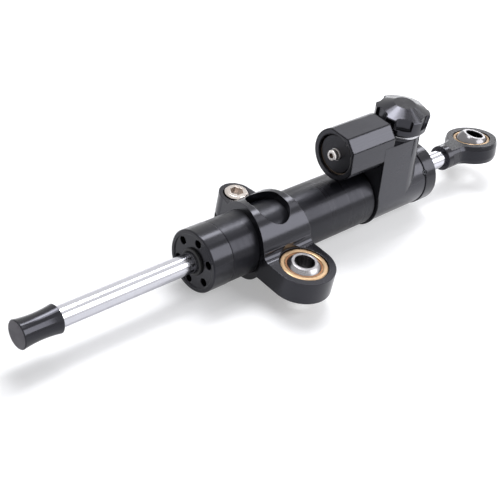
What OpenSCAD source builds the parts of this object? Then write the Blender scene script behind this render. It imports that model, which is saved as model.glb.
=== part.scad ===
// Scooter steering damper, with its rod running right through, a clamp with
// a spherical bearing, and a valve block that carries a knob and a reservoir.
// Sizes are in millimetres. The origin is the centre of the clamp's bearing,
// +X runs along the damper towards the rod end, and +Z is the clamp bolt's way up.

/* [Damper tube] */
// Outside diameter of the tube
tube_d = 25; // [24:0.1:27]
// Wall of the tube
tube_wall = 1.9; // [1.6:0.1:2.2]
// Full travel of the piston
stroke = 69; // [50:1:90]
// Dark gap between the tube's shoulder and the valve block
tube_gap = 0.7; // [0.3:0.1:1.5]

/* [Inner cylinder] */
// Bore that the piston runs in
cylinder_bore_d = 18.2; // [17:0.1:18.6]
// Wall of the inner cylinder
cylinder_wall = 0.8; // [0.5:0.1:1]

/* [Rod] */
// Diameter of the rod
rod_d = 8; // [7:0.5:9]
// Travel left towards the rod cap, as the part is stored
travel_out = 17; // [5:1:40]
// Rod that still shows at the cap when the rod is pushed fully in
cap_spare = 8.7; // [2:0.1:20]
// Rod that still shows at the rod end when the rod is pulled fully out
eye_spare = 1.7; // [1:0.1:10]
// Diameter of the threaded stubs at both ends of the rod
stub_d = 6; // [5:0.5:6.5]
// Length of the threaded stubs
stub_len = 10; // [6:0.5:12]

/* [Rod cap] */
// Length of the rod cap
cap_len = 15.8; // [14:0.1:20]
// Diameter of the rod cap at its two ends
cap_end_d = 11; // [10.4:0.1:12]
// Diameter of the rod cap at its waist
cap_waist_d = 9.7; // [9:0.1:10.2]
// Radius on the cap's edges
cap_edge = 0.3; // [0.1:0.1:0.5]

/* [Piston] */
// Length of the piston
piston_len = 12; // [8:0.5:16]
// Width of the piston ring
piston_ring_w = 2.5; // [1.5:0.1:4]
// Depth of the piston ring's groove
piston_ring_depth = 1; // [0.6:0.1:1.6]
// Thickness of the circlips that hold the piston
circlip_t = 0.8; // [0.6:0.1:1.2]
// Depth of the circlip grooves in the rod
circlip_depth = 0.5; // [0.3:0.05:0.7]
// How far the circlips stand above the rod
circlip_proud = 1.1; // [0.8:0.1:1.6]
// Gap left between piston and gland at the end of the travel
stop_gap = 0.3; // [0.2:0.1:1]

/* [Glands] */
// Length of the front gland
gland_len = 23; // [21:0.5:28]
// Length of the rear gland
rear_gland_len = 22.9; // [21:0.1:28]
// Length of the front gland's collar, which shows
collar_len = 9.9; // [8:0.1:10.5]
// How far the front collar stands above the tube
collar_proud = 0.15; // [0.05:0.05:0.5]
// Length of the rear gland's collar
rear_collar_len = 7; // [6:0.1:8]
// How far the rear collar stands above the valve block
rear_collar_proud = 0.4; // [0.1:0.1:0.8]
// Width of the rim round a gland's face
face_rim = 1.75; // [1.2:0.05:2]
// Depth of the recess in a gland's face
face_recess = 0.4; // [0.2:0.1:0.8]
// Diameter of the holes for the pin spanner
pin_hole_d = 3.3; // [2.5:0.1:3.5]
// Circle that the spanner holes lie on
pin_circle_d = 17.6; // [17:0.1:17.8]
// Number of spanner holes
pin_count = 6; // [4:1:8]
// Turn of the first spanner hole from the bolt's side
pin_turn = 36; // [0:1:59]
// Depth of the spanner holes
pin_depth = 4; // [2:0.5:5]
// Length of the nose that holds the inner cylinder
nose_len = 5; // [4.5:0.1:6]
// Length of the guide bushes
bush_len = 9; // [6:0.5:10]
// Wall of the guide bushes
bush_wall = 1.2; // [0.8:0.1:1.6]
// Outside diameter of the wipers
wiper_d = 10.8; // [10.2:0.1:11.6]
// Depth of the wipers' seats in the gland
wiper_len = 3; // [2:0.1:3.5]
// How far the wipers stand out of the gland's face
wiper_proud = 0.8; // [0.2:0.1:0.9]
// Width of the slope down to a wiper's lip
wiper_slope = 0.6; // [0.4:0.1:0.8]
// Outside diameter of the rod seals
seal_d = 13; // [12:0.1:14]
// Length of the rod seals
seal_len = 4; // [3:0.1:4.5]
// Wall between a wiper's seat and the seal's
seal_wall = 1; // [0.6:0.1:1.5]
// Cord thickness of the O-rings on the glands
gland_ring_t = 1.6; // [1.2:0.1:1.8]
// Diameter of the rear gland's locking screw
lock_screw_d = 2; // [1.6:0.1:2.4]
// Length of the locking screw
lock_screw_len = 2.7; // [2:0.1:2.9]
// Place of the locking screw, from the top towards the far side
lock_screw_turn = 55; // [40:1:70]

/* [Clamp] */
// Distance from the front gland's face to the middle of the clamp
clamp_x = 34.9; // [30:0.1:50]
// Radius outside the clamp's ring
ring_r = 15.45; // [14.8:0.05:16.5]
// How far the ring's outside is set above the bore's axis
ring_rise = 0.3; // [0:0.05:0.5]
// Half of the clamp's width at the ear
ear_r = 12.5; // [12:0.1:14]
// Thickness of the ear
ear_t = 9.5; // [9.2:0.1:11]
// Height of the ear's middle under the damper's axis
ear_drop = 2.65; // [1:0.05:4]
// Distance from the damper's axis to the bearing's axis
ear_reach = 24.7; // [24:0.1:28]
// Distance from the axis at which the sides start to taper
taper_start = 13.5; // [11:0.1:15]
// Fillet between the ear's top and the ring
ear_fillet = 2.75; // [1.5:0.05:3.5]
// Radius of the bolt lug
lug_r = 7; // [6.5:0.1:8]
// Distance from the damper's axis to the bolt's axis
bolt_y = 16.7; // [16.4:0.1:18]
// Height of the lug's top
lug_top = 8.7; // [8:0.1:9.5]
// Height of the lug's underside, below the axis
lug_bottom = 13; // [12:0.1:14]
// Diameter of the clamp bolt
bolt_d = 6; // [5:1:6]
// Diameter of the clamp bolt's head
bolt_head_d = 9.6; // [9.4:0.1:10.2]
// Height of the clamp bolt's head
bolt_head_h = 6; // [5:0.1:6.5]
// Height at which the bolt's head seats
bolt_seat = 3.9; // [3.5:0.1:5]
// Counterbore for the bolt's head
bolt_cbore_d = 10.7; // [10.5:0.1:11.4]
// Length of the clamp bolt under its head
bolt_len = 15; // [12:1:16]
// Width of the split in the lug
split_w = 1.3; // [0.8:0.1:2]
// Height of the split's middle, below the axis
split_drop = 1.85; // [1:0.05:2.5]
// Width of the window in the top of the ring
window_w = 14.4; // [10:0.1:15]
// Distance from the axis to the window's near end
window_near = 10.3; // [9:0.1:11.5]
// Distance from the axis to the window's far end
window_far = 9.1; // [8:0.1:9.5]

/* [Spherical bearings] */
// Bore of both balls
ball_bore_d = 8; // [6:0.1:9]
// Diameter of both balls
ball_d = 15.875; // [15:0.005:16]
// Width of both balls
ball_w = 12; // [10:0.1:12.4]
// Thickness of the liners round the balls
liner_t = 0.7; // [0.4:0.05:0.9]
// Outside diameter of the clamp's race
clamp_race_d = 19.4; // [18.6:0.1:19.8]
// Width of the clamp's race
clamp_race_w = 9; // [8.6:0.1:9.2]
// Thickness of the rod end's liner
eye_liner_t = 0.25; // [0.2:0.01:0.3]
// Outside diameter of the rod end's race
eye_race_d = 17.2; // [17:0.1:17.6]
// Width of the rod end's race
eye_race_w = 8; // [7:0.1:8.3]

/* [Rod end] */
// Outside diameter of the eye
eye_d = 23.9; // [23:0.1:24]
// Diameter that the eye is turned to before its sides are milled
eye_turned_d = 24.3; // [24.2:0.1:26]
// Thickness across the eye's flats
eye_t = 8.5; // [8.3:0.1:9.4]
// Distance from the shank's front to the eye's centre
shank_len = 22.6; // [20:0.1:28]
// Diameter of the shank
shank_d = 11.3; // [10.8:0.1:12]
// Width across the shank's milled sides
shank_w = 10; // [9:0.1:10.2]
// Blend radius between shank and eye
shank_blend = 6; // [4:0.5:8]
// Length of the round collar in front of the flats
shank_collar = 3.4; // [2:0.1:5]
// Turn of the eye about the damper's axis
eye_roll = -11.6; // [-30:0.1:30]
// Tilt of the ball in the eye, as stored
ball_tilt = 12; // [0:0.5:12]
// Heading of that tilt, seen along the eye's axis
ball_tilt_heading = -40; // [-180:5:180]

/* [Valve block] */
// Length of the valve block's round body
block_len = 31.5; // [28:0.1:36]
// Diameter of the valve block's round body
block_d = 25.8; // [25.2:0.1:27]
// How far the lip at the block's front stands out
lip_proud = 0.5; // [0.2:0.1:0.8]
// Width of that lip
lip_w = 1; // [0.6:0.1:1.4]
// Depth to which the tube screws into the block
neck_len = 9; // [7:0.1:10]
// Length of the oil gallery behind the tube's neck
gallery_len = 3; // [2:0.1:4]
// Wall of the tube's screwed neck
neck_wall = 1.1; // [0.9:0.05:1.3]
// Height of the platform under the knob
platform_z = 28.3; // [27:0.1:30]
// Half of the platform's width
platform_half = 9.5; // [9:0.1:10]
// Distance from the inner cylinder's chamber to the valve's axis
valve_offset = 2.2; // [1.8:0.1:2.6]

/* [Reservoir] */
// Diameter of the reservoir barrel
barrel_d = 21.6; // [20.5:0.1:21.8]
// Length of the reservoir barrel
barrel_len = 25; // [22:0.5:35]
// Gap between the barrel's rear face and the knob
knob_gap = 1.3; // [0.8:0.1:2.2]
// Height of the barrel's axis
barrel_z = 26.5; // [25.5:0.1:27]
// Distance from the barrel's axis to its top flat
top_flat = 9.8; // [9.5:0.05:10.4]
// Distance from the barrel's axis to its slanted flat
slant_flat = 10.2; // [9.9:0.05:10.6]
// Bore of the reservoir
reservoir_bore_d = 17; // [16:0.1:18]
// Wall behind the reservoir's bore
reservoir_floor = 3; // [2:0.5:5]
// Diameter of the cap's raised disc
cap_disc_d = 16; // [15:0.1:16]
// Depth of the cap's disc behind the barrel's rim
cap_disc_set = 0.9; // [0.4:0.1:1.4]
// Length of the reservoir's cap behind its disc
reservoir_cap_len = 5; // [4:0.5:7]
// Thickness of the snap ring's wire
snap_ring_t = 0.8; // [0.7:0.1:1]
// Depth of the snap ring's groove
snap_ring_depth = 0.4; // [0.3:0.1:0.5]
// Gap between the snap ring's ends
snap_ring_opening = 3; // [2:0.5:5]
// Turn of that gap from the top
snap_ring_turn = 60; // [-180:5:180]
// Length of the floating piston
float_len = 5; // [4:0.5:6]
// Travel of the floating piston each way
float_travel = 3; // [1:0.5:3.5]
// Cord thickness of the reservoir's O-rings
reservoir_ring_t = 1.5; // [1.2:0.1:1.8]
// Diameter of the fill screw
fill_screw_d = 3; // [2.5:0.5:3.5]
// Diameter of the fill screw's head
fill_head_d = 4.6; // [4.2:0.1:5]
// Height of the fill screw's head
fill_head_h = 2.2; // [1.5:0.1:2.5]
// Diameter of the washer under the fill screw
fill_washer_d = 5; // [4.8:0.1:7]
// Thickness of that washer
fill_washer_t = 0.6; // [0.4:0.1:1]

/* [Knob and valve] */
// Diameter of the knob
knob_d = 23; // [21.5:0.1:24]
// Height of the knob's top above the platform
knob_top = 11.8; // [11.4:0.1:13]
// Diameter of the flat on top of the knob
knob_flat_d = 9.3; // [8:0.1:11]
// Height of the knob's cone
knob_cone_h = 2.8; // [2:0.1:3.2]
// Height of the knob's underside above the platform
knob_base = 1.4; // [1.35:0.05:1.8]
// Height of the chamfer under the knob's rim
knob_chamfer = 1.1; // [0.6:0.1:1.4]
// Number of finger pockets
pocket_count = 6; // [4:1:7]
// Width of a finger pocket
pocket_w = 7.3; // [6:0.1:8]
// Distance from the knob's axis to a pocket's back wall
pocket_back = 9.7; // [9:0.1:10.2]
// Height of a pocket's floor above the platform
pocket_floor = 4.9; // [4:0.1:5.4]
// Corner radius of the pockets
pocket_corner = 1.3; // [0.6:0.1:1.8]
// Turn of the first pocket from +X
pocket_turn = -14.5; // [-30:0.5:30]
// Diameter of the valve sleeve's flange, the bright ring under the knob
flange_d = 19.4; // [18.6:0.1:20]
// Thickness of that flange
flange_t = 1.2; // [1:0.05:1.25]
// Diameter of the spigot that the knob turns on
spigot_d = 10; // [9:0.1:11]
// Height of the spigot above the flange
spigot_h = 7; // [6.8:0.1:7.4]
// Depth of the sleeve's thread in the block
sleeve_depth = 7; // [6:0.1:8]
// Diameter of the needle's threaded part
needle_d = 6; // [5:0.1:6.4]
// Pitch of the needle's thread
needle_pitch = 0.75; // [0.5:0.05:1]
// Turns that the knob makes each way
knob_turns = 1; // [0.5:0.5:2]
// Diameter of the port that the needle closes
port_d = 2; // [1.6:0.1:2.2]
// Diameter of the detent ball
detent_d = 2; // [1.6:0.1:2.2]
// Circle that the detent ball lies on
detent_circle_d = 14.6; // [14:0.1:15]
// Depth of the hole for the detent's ball and spring, under the flange's top
detent_depth = 8; // [6:0.5:9]
// Number of clicks in one turn
detent_count = 16; // [12:2:20]
// Height of the valve's seat above the inner cylinder
seat_height = 4; // [3.5:0.1:4.5]
// Diameter of the screw that holds the knob on
knob_screw_d = 2; // [1.6:0.1:2.2]
// Depth of the sleeve's groove for that screw
groove_depth = 0.8; // [0.5:0.1:1]
// Width of the needle's hexagon, which slides in the knob
needle_hex = 4; // [3:0.1:4.4]

/* [Clearances] */
// Radial clearance of shafts and pistons that run in bores
running = 0.05; // [0.03:0.005:0.08]
// Radial clearance between a ball, its liner and its race
ball_clearance = 0.03; // [0.015:0.005:0.05]
// Radial clearance of pieces that are screwed or pressed together
seat = 0.02; // [0.01:0.01:0.04]
// Radial clearance of holes round the rod that do not guide it
free = 0.3; // [0.2:0.05:0.5]

/* [Hidden] */
$fn = 72;
over = 1;
edge = 0.4;
wiper_edge = 0.3;
lock_hole_depth = 3;
hex_sides = 6;

// Radii
tube_r = tube_d / 2;
tube_bore_r = tube_r - tube_wall;
neck_r = tube_bore_r + neck_wall;
cylinder_bore_r = cylinder_bore_d / 2;
cylinder_r = cylinder_bore_r + cylinder_wall;
rod_r = rod_d / 2;
block_r = block_d / 2;
barrel_r = barrel_d / 2;
ball_r = ball_d / 2;
eye_r = eye_d / 2;

// Reaches past both ends of a port in the inner cylinder
relief_len = 1.7 * port_d;

// Places along the damper, from the front gland's face
travel_in = stroke - travel_out;
seal_start = face_recess + wiper_len + seal_wall;
chamber_start = gland_len;
chamber_end = gland_len + piston_len + stroke + 2 * stop_gap;
cylinder_start = chamber_start - nose_len;
cylinder_end = chamber_end + nose_len;
rear_face = chamber_end + rear_gland_len;
block_end = rear_face - rear_collar_len;
block_start = block_end - block_len;
tube_end = block_start - tube_gap;
neck_end = block_start + neck_len;
gallery_end = neck_end + gallery_len;
piston_x = chamber_start + stop_gap + travel_out;
cap_rear = -travel_in - cap_spare;
cap_front = cap_rear - cap_len;
shank_front = rear_face + travel_out + eye_spare;
eye_x = shank_front + shank_len;
rod_front = cap_rear - stub_len;
rod_rear = shank_front + stub_len;
valve_x = chamber_end + valve_offset;
barrel_end = valve_x - knob_d / 2 - knob_gap;
barrel_start = barrel_end - barrel_len;

// The block's side planes touch its round body and the platform's edge
platform_far = sqrt(platform_half * platform_half + platform_z * platform_z);
draft = atan2(platform_z, platform_half) - acos(block_r / platform_far);
touch_y = block_r * cos(draft);
touch_z = block_r * sin(draft);
function side_at(z) = (block_r - sin(draft) * z) / cos(draft);

// Reservoir
reservoir_r = reservoir_bore_d / 2;
reservoir_back = barrel_end - reservoir_floor;
cap_disc_x = barrel_start + cap_disc_set;
snap_x = cap_disc_x + 0.3;
cap_flange_x = snap_x + snap_ring_t + 0.1;
cap_inner_x = cap_flange_x + reservoir_cap_len;
cap_groove_x = (cap_flange_x + cap_inner_x) / 2;
float_x = (cap_inner_x + reservoir_back) / 2;

// Clamp
ring_top = ring_rise + ring_r;
ear_top = -ear_drop + ear_t / 2;
ear_bottom = -ear_drop - ear_t / 2;

// Knob and valve, up from the platform
flange_top = platform_z + flange_t;
spigot_top = flange_top + spigot_h;
knob_low = platform_z + knob_base;
knob_high = platform_z + knob_top;
knob_r = knob_d / 2;
spigot_r = spigot_d / 2;
needle_r = needle_d / 2;
needle_travel = needle_pitch * knob_turns;
sleeve_low = platform_z - sleeve_depth;
seat_z = cylinder_r + seat_height;
knob_screw_r = knob_screw_d / 2;
groove_z = spigot_top - 1.8;
needle_tip = seat_z + needle_travel - 0.55;
socket_high = knob_high - 0.7;
needle_high = socket_high - needle_travel - 0.2;

// Shared shapes
// Everything is drawn round the damper's axis and then moved to the clamp bearing's centre
module in_place() {
  translate([-clamp_x, ear_reach, ear_drop]) children();
}

module along_x(x = 0) {
  translate([x, 0, 0]) rotate([0, 90, 0]) children();
}

module bar_x(from, to, r) {
  along_x(from) cylinder(h = to - from, r = r);
}

module ring_x(from, to, r_out, r_in) {
  difference() {
    bar_x(from, to, r_out);
    bar_x(from - over, to + over, r_in);
  }
}

// A bar along X with both of its edges broken
module soft_bar_x(from, to, r, break_front, break_rear) {
  along_x(from) rotate_extrude() polygon([
    [0, 0],
    [r - break_front, 0],
    [r, break_front],
    [r, to - from - break_rear],
    [r - break_rear, to - from],
    [0, to - from]
  ]);
}

module o_ring_x(x, r_out, t) {
  along_x(x) rotate_extrude() translate([r_out - t / 2, 0]) circle(d = t);
}

// A groove for an O-ring of that cord in a bar, a hair deeper than the cord
module o_ring_groove_x(x, r_out, t) {
  ring_x(x - 0.65 * t, x + 0.65 * t, r_out + over, r_out - t - seat);
}

// The rear gland is the front gland's shape turned round
module at_rear() {
  translate([rear_face, 0, 0]) mirror([1, 0, 0]) children();
}

// Screwed and pressed body
module tube() {
  color("#1b1b1d")
  difference() {
    union() {
      soft_bar_x(collar_len, tube_end, tube_r, 0.2, edge);
      bar_x(tube_end - over, neck_end, neck_r - seat);
    }
    bar_x(collar_len - over, neck_end + over, tube_bore_r);
  }
}

// Ports at both ends let the oil past the piston by way of the gap outside the cylinder
module inner_cylinder() {
  color("#b9bcc0")
  difference() {
    ring_x(cylinder_start, cylinder_end, cylinder_r, cylinder_bore_r);
    for (turn = [0 : 90 : 270])
      rotate([turn, 0, 0]) translate([chamber_start - port_d, 0, 0])
        cylinder(h = cylinder_r + over, d = port_d);
    translate([valve_x, 0, 0]) cylinder(h = cylinder_r + over, d = port_d);
  }
}

// The O-ring sits in the middle of the screwed spigot
function gland_groove_x(length, collar) = (collar + length - nose_len) / 2;

// One gland from its face inwards: collar, screwed spigot, and nose for the inner cylinder
module gland(length, collar, collar_r) {
  spigot_end = length - nose_len;
  difference() {
    union() {
      soft_bar_x(0, collar, collar_r, edge, 0.2);
      bar_x(collar - over, spigot_end, tube_bore_r - seat);
      bar_x(spigot_end - over, length, cylinder_bore_r - seat);
    }
    bar_x(-over, length + over, rod_r + free);
    bar_x(-over, face_recess, collar_r - face_rim);
    bar_x(face_recess - over, face_recess + wiper_len, wiper_d / 2);
    bar_x(seal_start, seal_start + seal_len, seal_d / 2);
    bar_x(length - bush_len, length + over, rod_r + bush_wall);
    ring_x(length - relief_len, length + over, tube_bore_r, cylinder_bore_r - port_d / 2);
    o_ring_groove_x(gland_groove_x(length, collar), tube_bore_r - seat, gland_ring_t);
    for (i = [0 : pin_count - 1])
      rotate([i * 360 / pin_count + pin_turn, 0, 0]) translate([0, pin_circle_d / 2, 0])
        bar_x(-over, face_recess + pin_depth, pin_hole_d / 2);
  }
}

module front_gland() {
  color("#101012") gland(gland_len, collar_len, tube_r + collar_proud);
}

module rear_gland() {
  color("#101012")
  difference() {
    at_rear() gland(rear_gland_len, rear_collar_len, block_r + rear_collar_proud);
    rear_gland_screw_way() cylinder(h = lock_hole_depth + over, d = lock_screw_d);
  }
}

// The locking screw is tapped on the seam between the valve block and the rear collar
module rear_gland_screw_way() {
  translate([block_end, 0, 0]) rotate([lock_screw_turn, 0, 0])
    translate([0, 0, block_r + rear_collar_proud - lock_hole_depth]) children();
}

module rear_gland_screw() {
  color("#77797d")
  rear_gland_screw_way() difference() {
    cylinder(h = lock_screw_len, d = lock_screw_d - 2 * seat);
    translate([0, 0, lock_screw_len / 2])
      cylinder(h = lock_screw_len, d = lock_screw_d / 2, $fn = hex_sides);
  }
}

module gland_o_ring(length, collar) {
  o_ring_x(gland_groove_x(length, collar), tube_bore_r - seat, gland_ring_t);
}

module gland_o_rings() {
  color("#161616") {
    gland_o_ring(gland_len, collar_len);
    at_rear() gland_o_ring(rear_gland_len, rear_collar_len);
  }
}

module guide_bush(length) {
  ring_x(length - bush_len, length, rod_r + bush_wall - seat, rod_r + running);
}

module guide_bushes() {
  color("#a8793c") {
    guide_bush(gland_len);
    at_rear() guide_bush(rear_gland_len);
  }
}

module rod_seal() {
  ring_x(seal_start, seal_start + seal_len, seal_d / 2 - seat, rod_r + running);
}

module rod_seals() {
  color("#202020") {
    rod_seal();
    at_rear() rod_seal();
  }
}

// The wiper stands out of the gland's face, with a slope down to its lip
module rod_wiper() {
  r_out = wiper_d / 2 - seat;
  r_in = rod_r + running;
  along_x() rotate_extrude() polygon([
    [r_in, wiper_slope - wiper_proud],
    [r_in + wiper_slope, -wiper_proud],
    [r_out - wiper_edge, -wiper_proud],
    [r_out, wiper_edge - wiper_proud],
    [r_out, face_recess + wiper_len],
    [r_in, face_recess + wiper_len]
  ]);
}

module rod_wipers() {
  color("#1a1a1a") {
    rod_wiper();
    at_rear() rod_wiper();
  }
}

// Valve block
// Outline across the block between its slanted sides, up to the given height
module block_outline(top) {
  polygon([
    [-touch_y, touch_z],
    [-side_at(top), top],
    [side_at(top), top],
    [touch_y, touch_z]
  ]);
}

// Draws a flat shape in the Y-Z plane and extrudes it along X
module extrude_x(from, to) {
  translate([from, 0, 0]) rotate([90, 0, 90]) linear_extrude(to - from) children();
}

// The barrel is a round bar with flats milled on its top and down the clamp bearing's side
// Its side flat runs a hair inside the block's, so that its rear face ends on it cleanly
module barrel() {
  wide = 2 * barrel_d;
  extrude_x(barrel_start, barrel_end) difference() {
    translate([0, barrel_z]) circle(r = barrel_r);
    translate([-barrel_d, barrel_z + top_flat]) square(wide);
    translate([0, barrel_z]) rotate(45) translate([-barrel_d, slant_flat]) square(wide);
    polygon([
      [0.02 - side_at(0), 0],
      [0.02 - side_at(wide), wide],
      [-wide, wide],
      [-wide, 0]
    ]);
  }
}

module block_body() {
  soft_bar_x(block_start, block_start + lip_w, block_r + lip_proud, 0.2, 0.2);
  bar_x(block_start, block_end, block_r);
  extrude_x(block_start, valve_x) block_outline(platform_z);
  translate([valve_x, 0, touch_z])
    cylinder(h = platform_z - touch_z, r1 = side_at(touch_z), r2 = platform_half);
  barrel();
}

module valve_block() {
  color("#222224")
  difference() {
    block_body();
    bar_x(block_start - over, neck_end, neck_r);
    bar_x(block_start - over, gallery_end, tube_bore_r);
    bar_x(block_start - over, block_end + over, cylinder_r + seat);
    bar_x(cylinder_end, block_end + over, tube_bore_r);
    at_reservoir() bar_x(barrel_start - over, reservoir_back, reservoir_r);
    at_reservoir() bar_x(snap_x, snap_x + snap_ring_t, reservoir_r + snap_ring_depth);
    translate([valve_x, 0, sleeve_low]) cylinder(h = sleeve_depth + over, r = spigot_r);
    at_valve(seat_z) cylinder(h = sleeve_low - seat_z + over, r = needle_r + running);
    translate([valve_x, 0, 0]) cylinder(h = seat_z + over, d = port_d);
    translate([gallery_end - 1.5, 0, 0]) cylinder(h = seat_z + 3, d = port_d);
    slanted_port();
    detent_hole();
    rear_gland_screw_way() cylinder(h = lock_hole_depth + over, d = lock_screw_d);
  }
}

// Drilled through the reservoir's open bore, past the upright port, to the valve's seat
module slanted_port() {
  high = barrel_z - reservoir_r + 1.2;
  low = seat_z + 1.4;
  run = valve_x - reservoir_back;
  translate([valve_x, 0, low]) rotate([0, -atan2(run, high - low), 0])
    cylinder(h = sqrt(run * run + pow(high - low, 2)) + over, d = port_d);
}

// Reservoir
module at_reservoir() {
  translate([0, 0, barrel_z]) children();
}

module reservoir_cap() {
  color("#161618")
  at_reservoir() difference() {
    union() {
      soft_bar_x(cap_disc_x, cap_flange_x + over, cap_disc_d / 2, 0.25, 0.1);
      bar_x(cap_flange_x, cap_inner_x, reservoir_r - seat);
    }
    o_ring_groove_x(cap_groove_x, reservoir_r - seat, reservoir_ring_t);
    bar_x(cap_disc_x - over, cap_inner_x + over, fill_screw_d / 2 + seat);
  }
}

module reservoir_cap_o_ring() {
  color("#161616") at_reservoir()
    o_ring_x(cap_groove_x, reservoir_r - seat, reservoir_ring_t);
}

// An open ring of round wire, with its ends apart near the top
module reservoir_snap_ring() {
  color("#b06a3c")
  at_reservoir() difference() {
    o_ring_x(snap_x + snap_ring_t / 2, reservoir_r + snap_ring_depth - seat,
      snap_ring_t - 2 * seat);
    rotate([-snap_ring_turn, 0, 0]) translate([snap_x, 0, reservoir_r])
      cube(snap_ring_opening, center = true);
  }
}

module fill_screw() {
  seat_x = cap_disc_x - fill_washer_t;
  color("#c9cbce")
  at_reservoir() difference() {
    union() {
      soft_bar_x(seat_x - fill_head_h, seat_x, fill_head_d / 2, 0.4, 0.1);
      bar_x(seat_x - 0.1, cap_inner_x - 1, fill_screw_d / 2);
    }
    along_x(seat_x - fill_head_h - over)
      cylinder(h = over + fill_head_h - 0.7, r = 1.25, $fn = hex_sides);
  }
}

module fill_screw_washer() {
  color("#d2d2d0") at_reservoir()
    ring_x(cap_disc_x - fill_washer_t, cap_disc_x, fill_washer_d / 2, fill_screw_d / 2 + seat);
}

module floating_piston() {
  color("#8d9094")
  at_reservoir() difference() {
    soft_bar_x(float_x - float_len / 2, float_x + float_len / 2,
      reservoir_r - running, edge, edge);
    bar_x(float_x - float_len, float_x - 0.8, reservoir_r - 4);
    o_ring_groove_x(float_x, reservoir_r - running, reservoir_ring_t);
  }
}

module floating_piston_o_ring() {
  color("#161616") at_reservoir()
    o_ring_x(float_x, reservoir_r - running, reservoir_ring_t);
}

// Knob and valve
module at_valve(z = 0) {
  translate([valve_x, 0, z]) children();
}

// A round piece with its edges broken, standing on its underside
module soft_disc(h, r, low, high) {
  rotate_extrude() polygon([
    [0, 0],
    [r - low, 0],
    [r, low],
    [r, h - high],
    [r - high, h],
    [0, h]
  ]);
}

module valve_sleeve() {
  color("#d9dadc")
  difference() {
    union() {
      at_valve(platform_z) soft_disc(flange_t, flange_d / 2, 0.1, 0.3);
      at_valve(sleeve_low) cylinder(h = sleeve_depth + 0.1, r = spigot_r - seat);
      at_valve(flange_top - 0.1) cylinder(h = spigot_h + 0.1, r = spigot_r - running);
    }
    at_valve(sleeve_low - over)
      cylinder(h = sleeve_depth + flange_t + spigot_h + 2 * over, r = needle_r + running);
    at_valve(groove_z - knob_screw_r - 0.1) difference() {
      cylinder(h = 2 * knob_screw_r + 0.2, r = spigot_r + over);
      translate([0, 0, -over])
        cylinder(h = 2 * knob_screw_r + 0.2 + 2 * over, r = spigot_r - groove_depth);
    }
    detent_hole();
  }
}

module at_detent(z) {
  at_valve(z) translate([0, -detent_circle_d / 2, 0]) children();
}

module detent_hole() {
  at_detent(flange_top - detent_depth)
    cylinder(h = detent_depth + over, d = detent_d + 2 * running);
}

module detent_ball() {
  color("#c8c8cc") at_detent(knob_low - 0.05 - detent_d / 2) sphere(d = detent_d);
}

// A spring of round wire: a tube swept along a helix, with closed ends
spring_wire = 0.35;
spring_turns = 6;
spring_steps = 8;
spring_sides = 6;
spring_low = flange_top - detent_depth + spring_wire / 2;
spring_high = knob_low - 0.05 - detent_d - spring_wire / 2;
function spring_point(i) = let (
    angle = i * 360 / spring_steps,
    r = detent_d / 2 - spring_wire / 2
  ) [r * cos(angle), r * sin(angle),
     spring_low + (spring_high - spring_low) * i / (spring_turns * spring_steps)];
function spring_ring(i) = [for (k = [0 : spring_sides - 1]) let (
    angle = i * 360 / spring_steps,
    side = k * 360 / spring_sides,
    out = spring_wire / 2 * cos(side)
  ) spring_point(i) + [out * cos(angle), out * sin(angle), spring_wire / 2 * sin(side)]];
module detent_spring() {
  last = spring_turns * spring_steps;
  points = [for (i = [0 : last]) each spring_ring(i)];
  walls = [for (i = [0 : last - 1], k = [0 : spring_sides - 1], half = [0, 1]) let (
      a = i * spring_sides + k,
      b = i * spring_sides + (k + 1) % spring_sides
    ) half == 0 ? [a, b + spring_sides, b] : [a, a + spring_sides, b + spring_sides]];
  ends = [
    [for (k = [0 : spring_sides - 1]) k],
    [for (k = [spring_sides - 1 : -1 : 0]) last * spring_sides + k]
  ];
  color("#9a9ca0") at_detent(0) polyhedron(points, concat(walls, ends));
}

// A pocket is cut from the side with a round-cornered end, up through the cone
module knob_pocket() {
  reach = knob_r - pocket_back + over;
  translate([pocket_back, 0, platform_z + pocket_floor])
    linear_extrude(knob_top) union() {
      translate([pocket_corner, -pocket_w / 2]) square([reach, pocket_w]);
      translate([0, -pocket_w / 2 + pocket_corner])
        square([pocket_corner + 0.1, pocket_w - 2 * pocket_corner]);
      for (side = [-1, 1])
        translate([pocket_corner, side * (pocket_w / 2 - pocket_corner)])
          circle(r = pocket_corner);
    }
}

module knob() {
  rim_low = knob_low + knob_chamfer;
  color("#151517")
  difference() {
    at_valve() rotate_extrude() polygon([
      [0, knob_low],
      [knob_r - 0.3 - knob_chamfer, knob_low],
      [knob_r - 0.3, rim_low],
      [knob_r, knob_high - knob_cone_h - 0.3],
      [knob_r - 0.3, knob_high - knob_cone_h],
      [knob_flat_d / 2, knob_high],
      [0, knob_high]
    ]);
    at_valve(knob_low - over)
      cylinder(h = spigot_top - knob_low + over + 0.2, r = spigot_r);
    at_valve(spigot_top) cylinder(h = socket_high - spigot_top,
      r = needle_hex / sqrt(3) + running, $fn = hex_sides);
    for (i = [0 : pocket_count - 1])
      at_valve() rotate(pocket_turn + i * 360 / pocket_count) knob_pocket();
    for (i = [0 : detent_count - 1])
      at_valve(knob_low - 0.3) rotate(-90 + i * 360 / detent_count)
        translate([detent_circle_d / 2, 0, 0]) cylinder(h = 0.8, r1 = 1, r2 = 0.2);
    knob_screw_way(1) cylinder(h = knob_r, r = knob_screw_r + seat);
  }
}

// The knob's screw runs in the sleeve's groove from the pocket that faces away
module knob_screw_way(from) {
  at_valve(groove_z) rotate(pocket_turn + 2 * 360 / pocket_count) rotate([0, 90, 0])
    translate([0, 0, from]) children();
}

module knob_screw() {
  start = spigot_r - groove_depth + 0.1;
  length = pocket_back - start - 0.3;
  color("#3a3a3e")
  knob_screw_way(start) difference() {
    cylinder(h = length, r = knob_screw_r);
    translate([0, 0, length - 1.2]) cylinder(h = 2, r = 0.7, $fn = hex_sides);
  }
}

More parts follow.
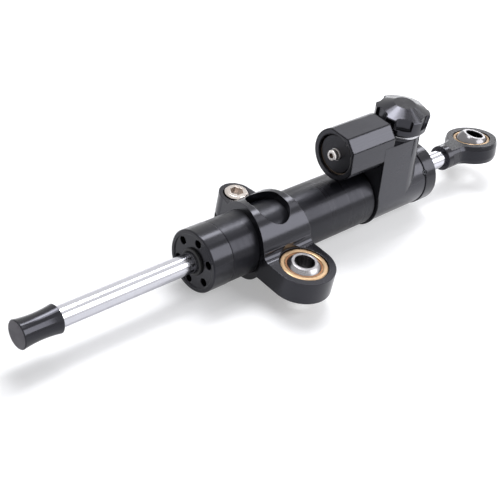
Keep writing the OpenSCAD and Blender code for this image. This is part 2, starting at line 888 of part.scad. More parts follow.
module needle_valve() {
  cone_h = 2;
  groove = sleeve_low - 2;
  thread_top = spigot_top - needle_travel - 0.5;
  color("#c9b27a")
  difference() {
    union() {
      at_valve(needle_tip) cylinder(h = cone_h, r1 = port_d / 2 - 0.3, r2 = port_d / 2 + 0.6);
      at_valve(needle_tip + cone_h - 0.01)
        cylinder(h = thread_top - needle_tip - cone_h, r = needle_r);
      at_valve(thread_top - 0.1) cylinder(h = needle_high - thread_top + 0.1,
        r = needle_hex / sqrt(3), $fn = hex_sides);
    }
    at_valve(groove - 0.9) difference() {
      cylinder(h = 1.8, r = needle_r + over);
      translate([0, 0, -over]) cylinder(h = 4, r = needle_r - 1.3);
    }
  }
}

module needle_o_ring() {
  color("#161616")
  at_valve(sleeve_low - 2) rotate_extrude() translate([needle_r - 0.65, 0]) circle(d = 1.3);
}

// Clamp
// Seen from above the clamp is a round ear, straight sides, and a taper to the bolt's lug
module clamp_column() {
  height = 2 * (lug_bottom + ring_r);
  at_ear() cylinder(h = 2 * height, r = ear_r, center = true);
  at_bolt(-height) cylinder(h = 2 * height, r = lug_r);
  translate([clamp_x, 0, -height]) linear_extrude(2 * height) polygon([
    [-ear_r, -ear_reach],
    [-ear_r, -taper_start],
    [-lug_r, bolt_y],
    [lug_r, bolt_y],
    [ear_r, -taper_start],
    [ear_r, -ear_reach]
  ]);
}

// Side view of the clamp: the ring, the ear with its fillet, and the lug
ring_far = ring_r + ear_fillet;
fillet_z = ear_top + ear_fillet;
fillet_y = -sqrt(ring_far * ring_far - (fillet_z - ring_rise) * (fillet_z - ring_rise));
module clamp_side() {
  difference() {
    union() {
      translate([0, ring_rise]) circle(r = ring_r);
      translate([-ear_reach - ear_r - over, ear_bottom])
        square([ear_reach + ear_r + over, ear_t]);
      translate([fillet_y, ear_top - over]) square([-fillet_y, ear_fillet + over]);
      translate([0, -lug_bottom]) square([bolt_y + lug_r + over, lug_top + lug_bottom]);
    }
    translate([fillet_y, fillet_z]) circle(r = ear_fillet);
  }
}

module at_ear() {
  translate([clamp_x, -ear_reach, -ear_drop]) children();
}

module at_bolt(z) {
  translate([clamp_x, bolt_y, z]) children();
}

module clamp() {
  color("#19191b")
  difference() {
    intersection() {
      clamp_column();
      extrude_x(clamp_x - 2 * ear_r, clamp_x + 2 * ear_r) clamp_side();
    }
    bar_x(clamp_x - 2 * ear_r, clamp_x + 2 * ear_r, tube_r + seat);
    translate([clamp_x, 0, 0]) linear_extrude(ring_top + over) clamp_window();
    at_ear() cylinder(h = 2 * ear_t, d = clamp_race_d + 2 * seat, center = true);
    at_ear() translate([0, 0, ear_t / 2]) cylinder(h = 2 * ring_r, d = clamp_race_d + 0.5);
    translate([clamp_x - 2 * ear_r, 0, -split_drop - split_w / 2])
      cube([4 * ear_r, bolt_y + 2 * lug_r, split_w]);
    at_bolt(-lug_bottom - over) cylinder(h = lug_bottom + ring_r, d = bolt_d + 2 * seat);
    at_bolt(bolt_seat) cylinder(h = ring_r, d = bolt_cbore_d);
  }
}

module clamp_window() {
  half = window_w / 2;
  translate([0, -window_near + half]) circle(r = half);
  translate([0, window_far - half]) circle(r = half);
  translate([-half, -window_near + half])
    square([window_w, window_near + window_far - window_w]);
}

module clamp_bolt() {
  color("#b9bbbe")
  difference() {
    union() {
      at_bolt(bolt_seat) soft_disc(bolt_head_h, bolt_head_d / 2, 0.1, 0.7);
      at_bolt(bolt_seat - bolt_len) cylinder(h = bolt_len + 0.1, d = bolt_d);
    }
    at_bolt(bolt_seat + bolt_head_h / 2)
      cylinder(h = bolt_head_h, r = bolt_d / 2.1, $fn = hex_sides);
  }
}

// Spherical bearings, each drawn round its own centre with its axis up
module race(r_out, width, liner) {
  difference() {
    translate([0, 0, -width / 2]) soft_disc(width, r_out, 0.5, 0.5);
    sphere(r = ball_r + liner + 2 * ball_clearance);
  }
}

module liner(width, thickness) {
  difference() {
    intersection() {
      sphere(r = ball_r + thickness + ball_clearance);
      translate([0, 0, -width / 2]) cylinder(h = width, r = 2 * ball_r);
    }
    sphere(r = ball_r + ball_clearance);
  }
}

module ball() {
  difference() {
    intersection() {
      sphere(r = ball_r);
      translate([0, 0, -ball_w / 2]) cylinder(h = ball_w, r = 2 * ball_r);
    }
    cylinder(h = 2 * ball_w, d = ball_bore_d, center = true);
  }
}

module clamp_race() {
  color("#c9a566") at_ear() race(clamp_race_d / 2 - seat, clamp_race_w, liner_t);
}

module clamp_liner() {
  color("#a8683a") at_ear() liner(clamp_race_w - 0.4, liner_t);
}

module clamp_ball() {
  color("#cfd0d2") at_ear() ball();
}

// Piston, which sits on the rod between two circlips
module piston() {
  middle = piston_x + piston_len / 2;
  color("#9b9da1")
  difference() {
    soft_bar_x(piston_x, piston_x + piston_len, cylinder_bore_r - running, 0.5, 0.5);
    bar_x(piston_x - over, piston_x + piston_len + over, rod_r + running);
    ring_x(middle - piston_ring_w / 2, middle + piston_ring_w / 2,
      cylinder_bore_r + over, cylinder_bore_r - piston_ring_depth);
    bar_x(piston_x - over, piston_x + circlip_t + 0.2, rod_r + circlip_proud + 0.4);
    bar_x(piston_x + piston_len - circlip_t - 0.2, piston_x + piston_len + over,
      rod_r + circlip_proud + 0.4);
  }
}

module piston_ring() {
  middle = piston_x + piston_len / 2;
  half = piston_ring_w / 2 - seat;
  color("#5b4a3c")
  ring_x(middle - half, middle + half, cylinder_bore_r - running / 2,
    cylinder_bore_r - piston_ring_depth + seat);
}

module circlip(x) {
  ring_x(x, x + circlip_t, rod_r + circlip_proud, rod_r - circlip_depth + seat);
}

module piston_circlips() {
  color("#55585c") {
    circlip(piston_x + 0.1);
    circlip(piston_x + piston_len - circlip_t - 0.1);
  }
}

module circlip_groove(x) {
  ring_x(x - seat, x + circlip_t + seat, rod_r + over, rod_r - circlip_depth);
}

module rod() {
  color("#d5d8dc")
  difference() {
    union() {
      bar_x(rod_front, rod_rear, stub_d / 2);
      bar_x(cap_rear, shank_front, rod_r);
    }
    circlip_groove(piston_x + 0.1);
    circlip_groove(piston_x + piston_len - circlip_t - 0.1);
  }
}

// The cap's side is one hollow arc between its two ends
cap_half = cap_len / 2 - cap_edge;
cap_sag = (cap_end_d - cap_waist_d) / 2;
cap_arc = (cap_half * cap_half + cap_sag * cap_sag) / (2 * cap_sag);
module rod_cap() {
  end_r = cap_end_d / 2;
  color("#161618")
  difference() {
    along_x(cap_front) rotate_extrude() difference() {
      polygon([
        [0, 0],
        [end_r - cap_edge, 0],
        [end_r, cap_edge],
        [end_r, cap_len - cap_edge],
        [end_r - cap_edge, cap_len],
        [0, cap_len]
      ]);
      translate([cap_waist_d / 2 + cap_arc, cap_len / 2]) circle(r = cap_arc, $fn = 240);
    }
    bar_x(rod_front - 0.3, cap_rear + over, stub_d / 2 + seat);
  }
}

// Half of the rod end's outline: its shank, a hollow blend, and the round eye
// The blend is cut a hair deeper than a true tangent, so that it crosses both curves
module eye_outline(half, round_r) {
  blend_r = half + shank_blend;
  far = round_r + shank_blend;
  blend_x = sqrt(far * far - blend_r * blend_r);
  meet = round_r / far;
  difference() {
    union() {
      polygon([
        [0, 0],
        [half - edge, 0],
        [half, edge],
        [half, shank_len - blend_x],
        [blend_r * meet, shank_len - blend_x * meet],
        [0, shank_len]
      ]);
      intersection() {
        translate([0, shank_len]) circle(r = round_r);
        translate([0, shank_len - round_r]) square([round_r, 2 * round_r - 0.03]);
      }
    }
    translate([blend_r, shank_len - blend_x]) circle(r = shank_blend + 0.02);
  }
}

// The whole outline, seen along the eye's axis
module eye_plan() {
  translate([-shank_len, 0]) {
    rotate(-90) eye_outline(shank_w / 2, eye_r);
    mirror([0, 1]) rotate(-90) eye_outline(shank_w / 2, eye_r);
    translate([0, -1]) square([shank_len, 2]);
  }
}

module at_eye() {
  translate([eye_x, 0, 0]) rotate([eye_roll, 0, 0]) children();
}

// The rod end is turned, milled flat on both faces, and then milled down its sides
module rod_end() {
  flat_start = -shank_len + shank_collar;
  color("#1c1c1e")
  difference() {
    along_x(shank_front) rotate_extrude() eye_outline(shank_d / 2, eye_turned_d / 2);
    at_eye() linear_extrude(2 * eye_d, center = true) difference() {
      translate([flat_start, -eye_d]) square(2 * eye_d);
      eye_plan();
    }
    at_eye() for (side = [-1, 1])
      translate([flat_start, -eye_d, side > 0 ? eye_t / 2 : -eye_t / 2 - eye_d])
        cube([2 * eye_d, 2 * eye_d, eye_d]);
    at_eye() cylinder(h = 2 * eye_d, d = eye_race_d + 2 * seat, center = true);
    bar_x(shank_front - over, rod_rear + 0.3, stub_d / 2 + seat);
  }
}

module rod_end_race() {
  color("#c9a566") at_eye() race(eye_race_d / 2 - seat, eye_race_w, eye_liner_t);
}

module rod_end_liner() {
  color("#a8683a") at_eye() liner(eye_race_w - 0.4, eye_liner_t);
}

module rod_end_ball() {
  color("#cfd0d2")
  at_eye() rotate(ball_tilt_heading) rotate([0, ball_tilt, 0]) ball();
}

in_place() tube();
in_place() inner_cylinder();
in_place() front_gland();
in_place() rear_gland();
in_place() gland_o_rings();
in_place() guide_bushes();
in_place() rod_seals();
in_place() rod_wipers();
in_place() rear_gland_screw();
in_place() valve_block();
in_place() reservoir_cap();
in_place() reservoir_cap_o_ring();
in_place() reservoir_snap_ring();
in_place() fill_screw();
in_place() fill_screw_washer();
in_place() floating_piston();
in_place() floating_piston_o_ring();
in_place() valve_sleeve();
in_place() detent_ball();
in_place() detent_spring();
in_place() clamp();
in_place() clamp_bolt();
in_place() clamp_race();
in_place() clamp_liner();
in_place() clamp_ball();
in_place() piston();
in_place() piston_ring();
in_place() piston_circlips();
in_place() rod();
in_place() rod_cap();
in_place() rod_end();
in_place() rod_end_race();
in_place() rod_end_liner();
in_place() rod_end_ball();
in_place() knob();
in_place() knob_screw();
in_place() needle_valve();
in_place() needle_o_ring();
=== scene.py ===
import bpy
from math import pi
from mathutils import Matrix, Vector


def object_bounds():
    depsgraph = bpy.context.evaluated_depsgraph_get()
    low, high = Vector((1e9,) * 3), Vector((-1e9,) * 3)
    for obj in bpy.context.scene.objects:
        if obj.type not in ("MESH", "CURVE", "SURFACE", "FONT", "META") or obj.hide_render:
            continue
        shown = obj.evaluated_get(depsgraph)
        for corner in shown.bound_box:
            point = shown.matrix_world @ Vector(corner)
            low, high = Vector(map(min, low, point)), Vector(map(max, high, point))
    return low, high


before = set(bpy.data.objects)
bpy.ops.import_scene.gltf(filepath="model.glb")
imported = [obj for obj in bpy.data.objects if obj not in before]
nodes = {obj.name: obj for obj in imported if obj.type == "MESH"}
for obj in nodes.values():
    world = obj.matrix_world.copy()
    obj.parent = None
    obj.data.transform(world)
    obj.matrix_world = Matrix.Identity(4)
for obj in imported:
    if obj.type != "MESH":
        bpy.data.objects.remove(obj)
cad_box = [list(corner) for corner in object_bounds()]

# Viewpoint
# The photograph was taken from above the clamp's side with a long lens, and turned
# so that the damper rises to the right.
camera_place = (-0.26897, -0.2036, 0.26373)
camera_roll = 0.21101
camera_data = bpy.data.cameras.new("viewpoint")
camera_data.sensor_width = 36
camera_data.lens = 80.35
camera_data.clip_start = 0.01
camera_data.clip_end = 20
camera = bpy.data.objects.new("viewpoint", camera_data)
bpy.context.scene.collection.objects.link(camera)
back = Vector((-0.6014, -0.5182, 0.6082)).normalized()
level = Vector((0, 0, 1)).cross(back).normalized()
upward = back.cross(level)
camera.matrix_world = (
    Matrix.Translation(camera_place)
    @ Matrix((level, upward, back)).transposed().to_4x4()
    @ Matrix.Rotation(camera_roll, 4, "Z")
)
bpy.context.scene.camera = camera


# Damper tube
# The main tube is drawn aluminium, turned outside and dyed black in the anodising bath.
# The turning tool leaves fine rings round it, so its highlights look satin, not polished.
def linear(colour):
    """Turns a six-digit sRGB colour into the linear values that a shader takes."""
    parts = [int(colour[i:i + 2], 16) / 255 for i in (0, 2, 4)]
    return [p / 12.92 if p <= 0.04045 else ((p + 0.055) / 1.055) ** 2.4 for p in parts] + [1]


def add(tree, kind, settings=None, links=None):
    """Adds a node, sets its properties and sockets, and links other sockets to it."""
    node = tree.nodes.new(kind)
    for name, value in (settings or {}).items():
        if isinstance(name, str) and name not in node.inputs:
            setattr(node, name, value)
        else:
            node.inputs[name].default_value = value
    for name, socket in (links or {}).items():
        tree.links.new(socket, node.inputs[name])
    return node


# Sockets that share a name go by number: the values that a Math or Vector Math node works on,
# and the factor, numbers and colours of a Mix node
first, second, third = 0, 1, 2
part_of_b, number_a, number_b, colour_a, colour_b = 0, 2, 3, 6, 7
mixed_number, mixed_colour = 0, 2


def tool_path(tree, place, centre, axis):
    """Radius and height about a lathe's axis, and the way in which the tool ran."""
    offset = add(tree, "ShaderNodeVectorMath", {"operation": "SUBTRACT", second: centre},
                 {first: place.outputs["Object"]}).outputs["Vector"]
    swept = add(tree, "ShaderNodeVectorMath", {"operation": "CROSS_PRODUCT", first: axis},
                {second: offset}).outputs["Vector"]
    radius = add(tree, "ShaderNodeVectorMath", {"operation": "LENGTH"}, {first: swept})
    height = add(tree, "ShaderNodeVectorMath", {"operation": "DOT_PRODUCT", second: axis},
                 {first: offset})
    rings = add(tree, "ShaderNodeCombineXYZ", {},
                {"X": radius.outputs["Value"], "Y": height.outputs["Value"]})
    run = add(tree, "ShaderNodeVectorTransform",
              {"vector_type": "VECTOR", "convert_from": "OBJECT", "convert_to": "WORLD"},
              {"Vector": swept})
    return rings.outputs["Vector"], run.outputs["Vector"]


def broken_edges(tree, radius):
    """Where the piece's edges are broken, and the normal with them. Within the radius of an
    edge the surface turns by 22.5 degrees, as it does on a chamfer. A turn of the normal by
    less than 4 degrees is a curve's, and no edge."""
    least_turn = 0.07
    tangent_of_turn = 0.414
    facing = add(tree, "ShaderNodeNewGeometry").outputs["Normal"]
    rounded = add(tree, "ShaderNodeBevel", {"samples": 6, "Radius": radius})
    turn = add(tree, "ShaderNodeVectorMath", {"operation": "SUBTRACT"},
               {first: rounded.outputs["Normal"], second: facing}).outputs["Vector"]
    angle = add(tree, "ShaderNodeVectorMath", {"operation": "LENGTH"}, {first: turn})
    near_edge = add(tree, "ShaderNodeMath", {"operation": "GREATER_THAN", second: least_turn},
                    {first: angle.outputs["Value"]}).outputs["Value"]
    slope = add(tree, "ShaderNodeMath", {"operation": "MULTIPLY", second: tangent_of_turn},
                {first: near_edge})
    way = add(tree, "ShaderNodeVectorMath", {"operation": "NORMALIZE"}, {first: turn})
    tilt = add(tree, "ShaderNodeVectorMath", {"operation": "SCALE"},
               {first: way.outputs["Vector"], "Scale": slope.outputs["Value"]})
    chamfer = add(tree, "ShaderNodeVectorMath", {"operation": "ADD"},
                  {first: tilt.outputs["Vector"], second: facing})
    chamfer = add(tree, "ShaderNodeVectorMath", {"operation": "NORMALIZE"},
                  {first: chamfer.outputs["Vector"]})
    return near_edge, chamfer.outputs["Vector"]


def machined(name, colours, roughness, pitch, depth, optics, lathe=None, cut=None, faced=None,
             edge=0.22, painted_edge_shade=None, painted_shade=None, uneven=0.15):
    """A machined or moulded finish, with colours from its darkest to its lightest tone. pitch
    and depth are the tool marks', and edge is the radius to which edges are broken, all in
    millimetres. Real marks are 0.05 to 0.1 mm apart, too fine to show, so they are drawn at a
    coarser pitch. lathe is (centre, axis, anisotropy) of a turned piece, and cut gives the
    marks' closeness along x, y and z on a milled one. faced is (axis, roughness, colour) of end
    faces that were cut on their own. painted_edge_shade is the colour of painted shade on broken
    edges, which then show as dark lines with little shine, and grime the colour of painted shade
    that darkens bores, sockets and corners, where little light reaches. uneven is the share by
    which the roughness rises and falls."""
    material = bpy.data.materials.new(name)
    material.use_nodes = True
    tree = material.node_tree
    tree.nodes.clear()
    place = add(tree, "ShaderNodeTexCoord")
    shader = add(tree, "ShaderNodeBsdfPrincipled", optics)
    marks_at = place.outputs["Object"]
    if lathe:
        centre, axis, anisotropy = lathe
        marks_at, run = tool_path(tree, place, centre, axis)
        shader.inputs["Anisotropic"].default_value = anisotropy
        # A quarter turn draws the highlights out across the rings
        shader.inputs["Anisotropic Rotation"].default_value = 0.25
        tree.links.new(run, shader.inputs["Tangent"])
    marks_per_metre = 1000 / pitch
    stretch = [marks_per_metre * closeness for closeness in (cut or (1, 1, 1))]
    marks = add(tree, "ShaderNodeMapping", {"Scale": stretch}, {"Vector": marks_at})
    lines = add(tree, "ShaderNodeTexNoise", {"Scale": 1.0, "Detail": 3.0, "Roughness": 0.6},
                {"Vector": marks.outputs["Vector"]})
    height = add(tree, "ShaderNodeMath", {"operation": "MULTIPLY", second: depth / 1000},
                 {first: lines.outputs["Fac"]})

    # Clouds 20 mm across and the tool marks together change the tone and the gloss a little.
    # Noise seldom leaves the middle third of its range, so that third stands for the whole.
    marks_part = 0.6
    clouds = add(tree, "ShaderNodeTexNoise", {"Scale": 50.0, "Detail": 3.0},
                 {"Vector": place.outputs["Object"]})
    mixed = add(tree, "ShaderNodeMix", {"data_type": "FLOAT", part_of_b: marks_part},
                {number_a: clouds.outputs["Fac"], number_b: lines.outputs["Fac"]})
    share = add(tree, "ShaderNodeMapRange", {"From Min": 0.35, "From Max": 0.65},
                {"Value": mixed.outputs[mixed_number]}).outputs["Result"]
    tone = add(tree, "ShaderNodeMix",
               {"data_type": "RGBA", colour_a: linear(colours[0]), colour_b: linear(colours[1])},
               {part_of_b: share}).outputs[mixed_colour]
    gloss = add(tree, "ShaderNodeMapRange",
                {"To Min": roughness * (1 - uneven), "To Max": roughness * (1 + uneven)},
                {"Value": share}).outputs["Result"]

    # A face counts as an end face when it is square to the axis within 11 degrees
    if faced:
        face_axis, face_roughness, face_colour = faced
        least_cosine = 0.98
        cosine = add(tree, "ShaderNodeVectorMath",
                     {"operation": "DOT_PRODUCT", second: face_axis},
                     {first: place.outputs["Normal"]})
        cosine = add(tree, "ShaderNodeMath", {"operation": "ABSOLUTE"},
                     {first: cosine.outputs["Value"]})
        on_face = add(tree, "ShaderNodeMath", {"operation": "GREATER_THAN", second: least_cosine},
                      {first: cosine.outputs["Value"]}).outputs["Value"]
        gloss = add(tree, "ShaderNodeMix", {"data_type": "FLOAT", number_b: face_roughness},
                    {part_of_b: on_face, number_a: gloss}).outputs[mixed_number]
        tone = add(tree, "ShaderNodeMix", {"data_type": "RGBA", colour_b: linear(face_colour)},
                   {part_of_b: on_face, colour_a: tone}).outputs[mixed_colour]
    # Painted shade: where little open air is seen, in bores, sockets and corners, the tone is
    # darkened towards the given shade colour
    if painted_shade:
        corner_reach = 0.008
        open_air = add(tree, "ShaderNodeAmbientOcclusion",
                       {"samples": 8, "Distance": corner_reach})
        unshaded = add(tree, "ShaderNodeMapRange", {"From Min": 0.25, "From Max": 0.75},
                    {"Value": open_air.outputs["AO"]})
        tone = add(tree, "ShaderNodeMix", {"data_type": "RGBA", colour_a: linear(painted_shade)},
                   {part_of_b: unshaded.outputs["Result"], colour_b: tone}).outputs[mixed_colour]

    near_edge, chamfer = broken_edges(tree, edge / 1000)
    # Painted shade: near a broken edge the tone turns dark and the shine drops, so the edge shows
    # as a dark line
    if painted_edge_shade:
        edge_roughness = 0.06
        full_shine = 0.5
        edge_shine = 0.08
        tone = add(tree, "ShaderNodeMix", {"data_type": "RGBA", colour_b: linear(painted_edge_shade)},
                   {part_of_b: near_edge, colour_a: tone}).outputs[mixed_colour]
        gloss = add(tree, "ShaderNodeMix", {"data_type": "FLOAT", number_b: edge_roughness},
                    {part_of_b: near_edge, number_a: gloss}).outputs[mixed_number]
        shine = add(tree, "ShaderNodeMix",
                    {"data_type": "FLOAT", number_a: full_shine, number_b: edge_shine},
                    {part_of_b: near_edge})
        tree.links.new(shine.outputs[mixed_number], shader.inputs["Specular IOR Level"])
    normal = add(tree, "ShaderNodeBump", {"Strength": 1.0, "Distance": 1.0},
                 {"Height": height.outputs["Value"], "Normal": chamfer})
    for socket, source in (("Base Color", tone), ("Roughness", gloss),
                           ("Normal", normal.outputs["Normal"])):
        tree.links.new(source, shader.inputs[socket])
    add(tree, "ShaderNodeOutputMaterial", {}, {"Surface": shader.outputs["BSDF"]})
    return material


def dress(material, *names):
    """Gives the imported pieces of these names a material."""
    for name in names:
        nodes[name].data.materials.clear()
        nodes[name].data.materials.append(material)


def anodised(ior):
    """Dyed oxide on aluminium: a dark body under a clear hard skin, which reflects like glass
    and a little blue. The index is matched to each piece's shine."""
    return {"IOR": ior, "Specular Tint": linear("f0f0ff")}


# The tube's rings are 0.1 mm apart, and drawn 0.8 mm apart, the finest that the picture can
# show. They draw its highlights out along it.
damper_centre = (0, 0.0247, 0.00265)
damper_axis = (1, 0, 0)
tube_finish = machined(
    "black_anodised_turned", ("060608", "121216"), roughness=0.33, pitch=0.8, depth=0.011,
    optics={**anodised(1.46), "Specular IOR Level": 0.46},
    lathe=(damper_centre, damper_axis, 0.85), uneven=0.25)
dress(tube_finish, "tube")


# Glands
# Both ends of the tube are closed by screwed glands, turned from black anodised bar.
# Their collars are turned finer than the tube and look glossier, their faces darker.
gland_finish = machined(
    "black_anodised_fine_turned", ("070709", "0d0d10"), roughness=0.22, pitch=0.3, depth=0.0015,
    optics=anodised(1.46), lathe=(damper_centre, damper_axis, 0.6),
    faced=(damper_axis, 0.2, "050506"), edge=0.35, uneven=0.05)
dress(gland_finish, "front_gland", "rear_gland")


# Rod seals
# Wipers, seals and O-rings are moulded nitrile rubber, pressed in round the rod.
# Rubber is a soft matt black with no metal shine, and takes the grain of its mould.
rubber = machined(
    "nitrile_rubber_moulded", ("0c0c0d", "161618"), roughness=0.5, pitch=0.5, depth=0.01,
    optics={"IOR": 1.52})
dress(rubber, "rod_wipers", "rod_seals", "gland_o_rings", "reservoir_cap_o_ring",
      "floating_piston_o_ring", "needle_o_ring")


# Inner cylinder, piston and guides
# The piston runs in a honed aluminium cylinder, between bronze bushes in the glands.
# They are out of sight, and finished as the real ones are: bright, turned or sintered.
metal = {"Metallic": 1.0}
bare_aluminium = machined(
    "bare_aluminium_turned", ("b4b6b9", "c6c8ca"), roughness=0.26, pitch=0.3, depth=0.002,
    optics=metal, lathe=(damper_centre, damper_axis, 0.4))
dress(bare_aluminium, "inner_cylinder", "piston", "floating_piston")

# Sintered bronze is pressed from powder, so it is porous and dull
bronze = machined(
    "sintered_bronze", ("8f6a38", "a98048"), roughness=0.42, pitch=0.4, depth=0.006,
    optics=metal)
dress(bronze, "guide_bushes")

# Filled PTFE is a brown plastic with a waxy look
filled_ptfe = machined(
    "filled_ptfe_turned", ("4a3c30", "5c4b3c"), roughness=0.5, pitch=0.4, depth=0.004,
    optics={"IOR": 1.38})
dress(filled_ptfe, "piston_ring")

# Spring steel turns a dark blue grey when it is tempered
spring_steel = machined(
    "spring_steel_blued", ("4a4e55", "5d6168"), roughness=0.35, pitch=0.4, depth=0.003,
    optics=metal)
dress(spring_steel, "piston_circlips", "detent_spring")


# Valve block
# The block is milled from solid, with slanted sides up to the knob's platform and a barrel
# for the reservoir. It is anodised a satin grey black, and painted shade draws its broken
# edges as dark lines.
block_finish = machined(
    "black_anodised_milled", ("222226", "2e2e32"), roughness=0.2, pitch=0.5, depth=0.002,
    optics=anodised(1.5), cut=(0.03, 1, 1), faced=(damper_axis, 0.28, "262629"), edge=0.8,
    painted_edge_shade="040405")
dress(block_finish, "valve_block")


# Reservoir cap
# A turned plug closes the barrel behind a copper-coloured snap ring of spring wire.
# The fill screw in its middle is stainless steel on a soft aluminium washer.
barrel_centre = (0, 0.0247, 0.02915)
cap_finish = machined(
    "black_anodised_turned_cap", ("050506", "0b0b0d"), roughness=0.3, pitch=0.35, depth=0.003,
    optics=anodised(1.46), lathe=(barrel_centre, damper_axis, 0.4))
dress(cap_finish, "reservoir_cap")

# The wire's thin copper has gone brown, and painted shade darkens it deep in its groove
coppered_wire = machined(
    "coppered_spring_wire", ("6a5c52", "80705f"), roughness=0.2, pitch=0.4, depth=0.003,
    optics=metal, painted_shade="100e0c")
dress(coppered_wire, "reservoir_snap_ring")

# Turned stainless steel is bright, with painted brown shade in the screw's socket and corners
stainless = machined(
    "stainless_turned", ("e0dcda", "eeeae8"), roughness=0.24, pitch=0.3, depth=0.003,
    optics=metal, lathe=(barrel_centre, damper_axis, 0.3), painted_shade="7a6c64")
dress(stainless, "fill_screw")
soft_aluminium = machined(
    "soft_aluminium_washer", ("d0cecd", "e0dedd"), roughness=0.3, pitch=0.3, depth=0.003,
    optics=metal, lathe=(barrel_centre, damper_axis, 0.3))
dress(soft_aluminium, "fill_screw_washer")


# Knob and valve
# The valve's sleeve is bright nickelled brass, and its flange shows as a ring under the
# knob. The knob is turned and fluted, then polished before it is anodised, so its cone
# shows streaks towards the middle. The flat on top is plainer and darker.
valve_centre = (0.0719, 0.0247, 0)
valve_axis = (0, 0, 1)

# The click's steel ball is as bright as the sleeve, and shares its finish
nickelled_brass = machined(
    "nickelled_brass_turned", ("c0c0c4", "d0d0d4"), roughness=0.22, pitch=0.3, depth=0.002,
    optics=metal, lathe=(valve_centre, valve_axis, 0.4))
dress(nickelled_brass, "valve_sleeve", "detent_ball")

# The needle is plain brass, left as the lathe turned it
brass = machined(
    "brass_turned", ("b6964e", "caa95c"), roughness=0.28, pitch=0.3, depth=0.003,
    optics=metal, lathe=(valve_centre, valve_axis, 0.4))
dress(brass, "needle_valve")
knob_finish = machined(
    "black_anodised_polished", ("060608", "0c0c0f"), roughness=0.2, pitch=0.3, depth=0.0015,
    optics=anodised(1.56), lathe=(valve_centre, valve_axis, 0.8),
    faced=(valve_axis, 0.15, "050506"))
dress(knob_finish, "knob")


# Small screws
# The locking screws are hardened steel with a thin black oxide, sold as they come.
# The clamp's bolt is bright zinc on steel, turned on its rim.
black_oxide = machined(
    "black_oxide_steel", ("3a3b3e", "4c4d51"), roughness=0.38, pitch=0.3, depth=0.004,
    optics=metal)
dress(black_oxide, "rear_gland_screw", "knob_screw")
bolt_centre = (0, 0.0414, 0)
zinc_plate = machined(
    "zinc_plated_steel", ("c0b8b2", "d2cac4"), roughness=0.22, pitch=0.3, depth=0.003,
    optics=metal, lathe=(bolt_centre, valve_axis, 0.2))
dress(zinc_plate, "clamp_bolt")


# Clamp
# The clamp is milled from an aluminium block, with an ear, a split lug and a window, and
# anodised black. A ball-nosed cutter leaves fine lines round its ring.
clamp_finish = machined(
    "black_anodised_satin_milled", ("070709", "0f0f12"), roughness=0.2, pitch=0.45,
    depth=0.0012, optics=anodised(1.52), lathe=(damper_centre, damper_axis, 0.5))
dress(clamp_finish, "clamp")


# Spherical bearings
# Each has a yellow-passivated race, a copper-coloured woven liner and a ball of polished
# bearing steel with a bore for an M8 bolt. The rod end's ball is a darker copy of that steel,
# a painted shade.
bearing_centre = (0, 0, 0)
yellow_passivate = machined(
    "yellow_passivated_steel", ("9a8062", "b09678"), roughness=0.3, pitch=0.3, depth=0.002,
    optics=metal, lathe=(bearing_centre, valve_axis, 0.3), edge=0.7)
dress(yellow_passivate, "clamp_race", "rod_end_race")
# Painted shade darkens the liners where they sink between race and ball
woven_liner = machined(
    "bronze_liner", ("6e4d38", "8e674a"), roughness=0.4, pitch=0.3, depth=0.004,
    optics=metal, painted_shade="1c140e")
dress(woven_liner, "clamp_liner", "rod_end_liner")
# Painted shade darkens the balls' bores and their parts deep in the races
bearing_steel = machined(
    "polished_bearing_steel", ("8c8a8c", "a09ea0"), roughness=0.28, pitch=0.3, depth=0.0008,
    optics=metal, edge=0.5, painted_shade="262628")
dress(bearing_steel, "clamp_ball")
# The rod end's ball: the same steel, darker and glossier, as painted shade
darker_bearing_steel = machined(
    "bearing_steel_painted_darker", ("6a686a", "7e7c7e"), roughness=0.2, pitch=0.3, depth=0.0008,
    optics=metal, edge=0.5, painted_shade="262628")
dress(darker_bearing_steel, "rod_end_ball")


# Rod, cap and rod end
# The rod is hard-chromed steel, ground and polished, and shines like a mirror along its
# length. The cap and the rod end screwed on to it are black anodised aluminium, and the
# cap's end face is worn to a dull grey.
hard_chrome = machined(
    "hard_chrome_ground", ("cacad1", "d2d2d9"), roughness=0.13, pitch=0.35, depth=0.0004,
    optics=metal, lathe=(damper_centre, damper_axis, 0.7))
dress(hard_chrome, "rod")
rod_cap_finish = machined(
    "black_anodised_cap", ("060608", "0c0c0e"), roughness=0.17, pitch=0.35, depth=0.001,
    optics=anodised(1.5), lathe=(damper_centre, damper_axis, 0.5),
    faced=(damper_axis, 0.5, "5c595d"))
dress(rod_cap_finish, "rod_cap")
rod_end_finish = machined(
    "black_anodised_rod_end", ("070709", "0e0e11"), roughness=0.19, pitch=0.4, depth=0.001,
    optics=anodised(1.46))
dress(rod_end_finish, "rod_end")


# Studio
# The object lies on a plain pale sheet in a white room. A long soft box beyond it and a
# wider, weaker one on the near side run along it. Three small ones are for the knob and
# the block.
reach = 2
gap_below = 0.0002
floor_height = cad_box[0][2] - gap_below
floor_mesh = bpy.data.meshes.new("floor")
corners = [(x, y, floor_height) for x, y in
           ((-reach, -reach), (reach, -reach), (reach, reach), (-reach, reach))]
floor_mesh.from_pydata(corners, [], [(0, 1, 2, 3)])
floor = bpy.data.objects.new("floor", floor_mesh)
bpy.context.scene.collection.objects.link(floor)

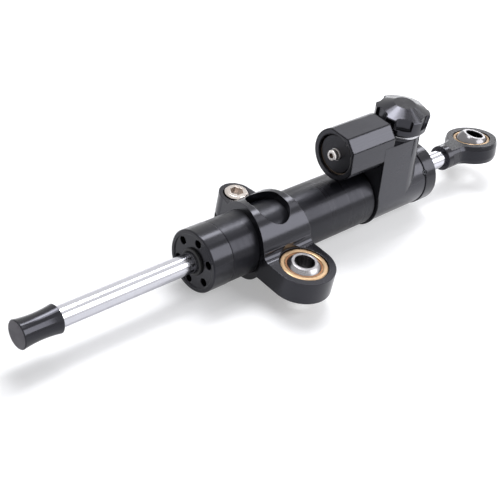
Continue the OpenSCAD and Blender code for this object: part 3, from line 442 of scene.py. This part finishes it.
# Paper is matt. Its fibres are too fine to show, and are drawn 2.5 mm wide. To the camera and
# in reflections it glows a little, so that the lamps needn't be strong for it to look white.
camera_glow = 0.35
mirrored_glow = 0.25
paper = bpy.data.materials.new("pale_paper")
paper.use_nodes = True
tree = paper.node_tree
tree.nodes.clear()
path = add(tree, "ShaderNodeLightPath")
fibres = add(tree, "ShaderNodeTexNoise", {"Scale": 400.0, "Detail": 3.0})
tone = add(tree, "ShaderNodeMix",
           {"data_type": "RGBA", colour_a: linear("dadada"), colour_b: linear("e0e0e0")},
           {part_of_b: fibres.outputs["Fac"]})
sheet = add(tree, "ShaderNodeBsdfPrincipled", {"Roughness": 0.9, "Specular IOR Level": 0.1},
            {"Base Color": tone.outputs[mixed_colour]})
mirrored = add(tree, "ShaderNodeMath", {"operation": "MAXIMUM"},
               {first: path.outputs["Is Glossy Ray"], second: path.outputs["Is Transmission Ray"]})
lift = add(tree, "ShaderNodeMath", {"operation": "MULTIPLY", second: mirrored_glow},
           {first: mirrored.outputs["Value"]})
lift = add(tree, "ShaderNodeMath", {"operation": "MULTIPLY_ADD", second: camera_glow},
           {first: path.outputs["Is Camera Ray"], third: lift.outputs["Value"]})
glow = add(tree, "ShaderNodeEmission", {"Color": linear("ffffff")},
           {"Strength": lift.outputs["Value"]})
both = add(tree, "ShaderNodeAddShader", {},
           {first: sheet.outputs["BSDF"], second: glow.outputs["Emission"]})
add(tree, "ShaderNodeOutputMaterial", {}, {"Surface": both.outputs["Shader"]})
floor_mesh.materials.append(paper)


def soft_box(name, place, aim, size, brightness):
    """A lamp behind a white cloth, size in metres; brightness 1 shows as white."""
    data = bpy.data.lights.new(name, "AREA")
    data.shape = "RECTANGLE"
    data.size, data.size_y = size
    data.energy = brightness * size[0] * size[1] * pi
    data.color = (0.97, 0.975, 1.0)
    lamp = bpy.data.objects.new(name, data)
    back_to_lamp = (Vector(place) - Vector(aim)).normalized()
    side = Vector((1, 0, 0))
    side = (side - back_to_lamp * side.dot(back_to_lamp)).normalized()
    lamp.matrix_world = Matrix.Translation(place) @ Matrix(
        (side, back_to_lamp.cross(side).normalized(), back_to_lamp)).transposed().to_4x4()
    bpy.context.scene.collection.objects.link(lamp)


soft_box("far_soft_box", place=(0.5, 0.27, 0.66), aim=(0.5, 0.02, 0), size=(1.2, 0.16),
         brightness=8.8)
soft_box("near_soft_box", place=(0.58, -0.534, 0.498), aim=(0.58, 0.02, 0), size=(0.9, 0.53),
         brightness=4.2)
soft_box("high_soft_box", place=(0.15, 0.25, 0.68), aim=(0.12, 0.02, 0.03), size=(0.28, 0.42),
         brightness=5.6)
soft_box("rear_soft_box", place=(0.88, 0.59, 0.11), aim=(0.07, 0.02, 0.04), size=(0.4, 0.16),
         brightness=4.6)
soft_box("strip_soft_box", place=(0.55, -0.01, 0.68), aim=(0.07, 0.02, 0.04), size=(0.09, 0.18),
         brightness=2.8)

# The room is white to the camera and in reflections, and lights the object as a grey one would
world = bpy.data.worlds.new("white_room")
bpy.context.scene.world = world
world.use_nodes = True
tree = world.node_tree
tree.nodes.clear()
path = add(tree, "ShaderNodeLightPath")
seen = add(tree, "ShaderNodeMath", {"operation": "MAXIMUM"},
           {first: path.outputs["Is Camera Ray"], second: path.outputs["Is Glossy Ray"]})
seen = add(tree, "ShaderNodeMath", {"operation": "MAXIMUM"},
           {first: seen.outputs["Value"], second: path.outputs["Is Transmission Ray"]})
room = add(tree, "ShaderNodeMix",
           {"data_type": "RGBA", colour_a: linear("6f7074"), colour_b: linear("ffffff")},
           {part_of_b: seen.outputs["Value"]})
walls = add(tree, "ShaderNodeBackground", {"Strength": 1.0},
            {"Color": room.outputs[mixed_colour]})
add(tree, "ShaderNodeOutputWorld", {}, {"Surface": walls.outputs["Background"]})

bpy.context.scene.view_settings.view_transform = "Standard"
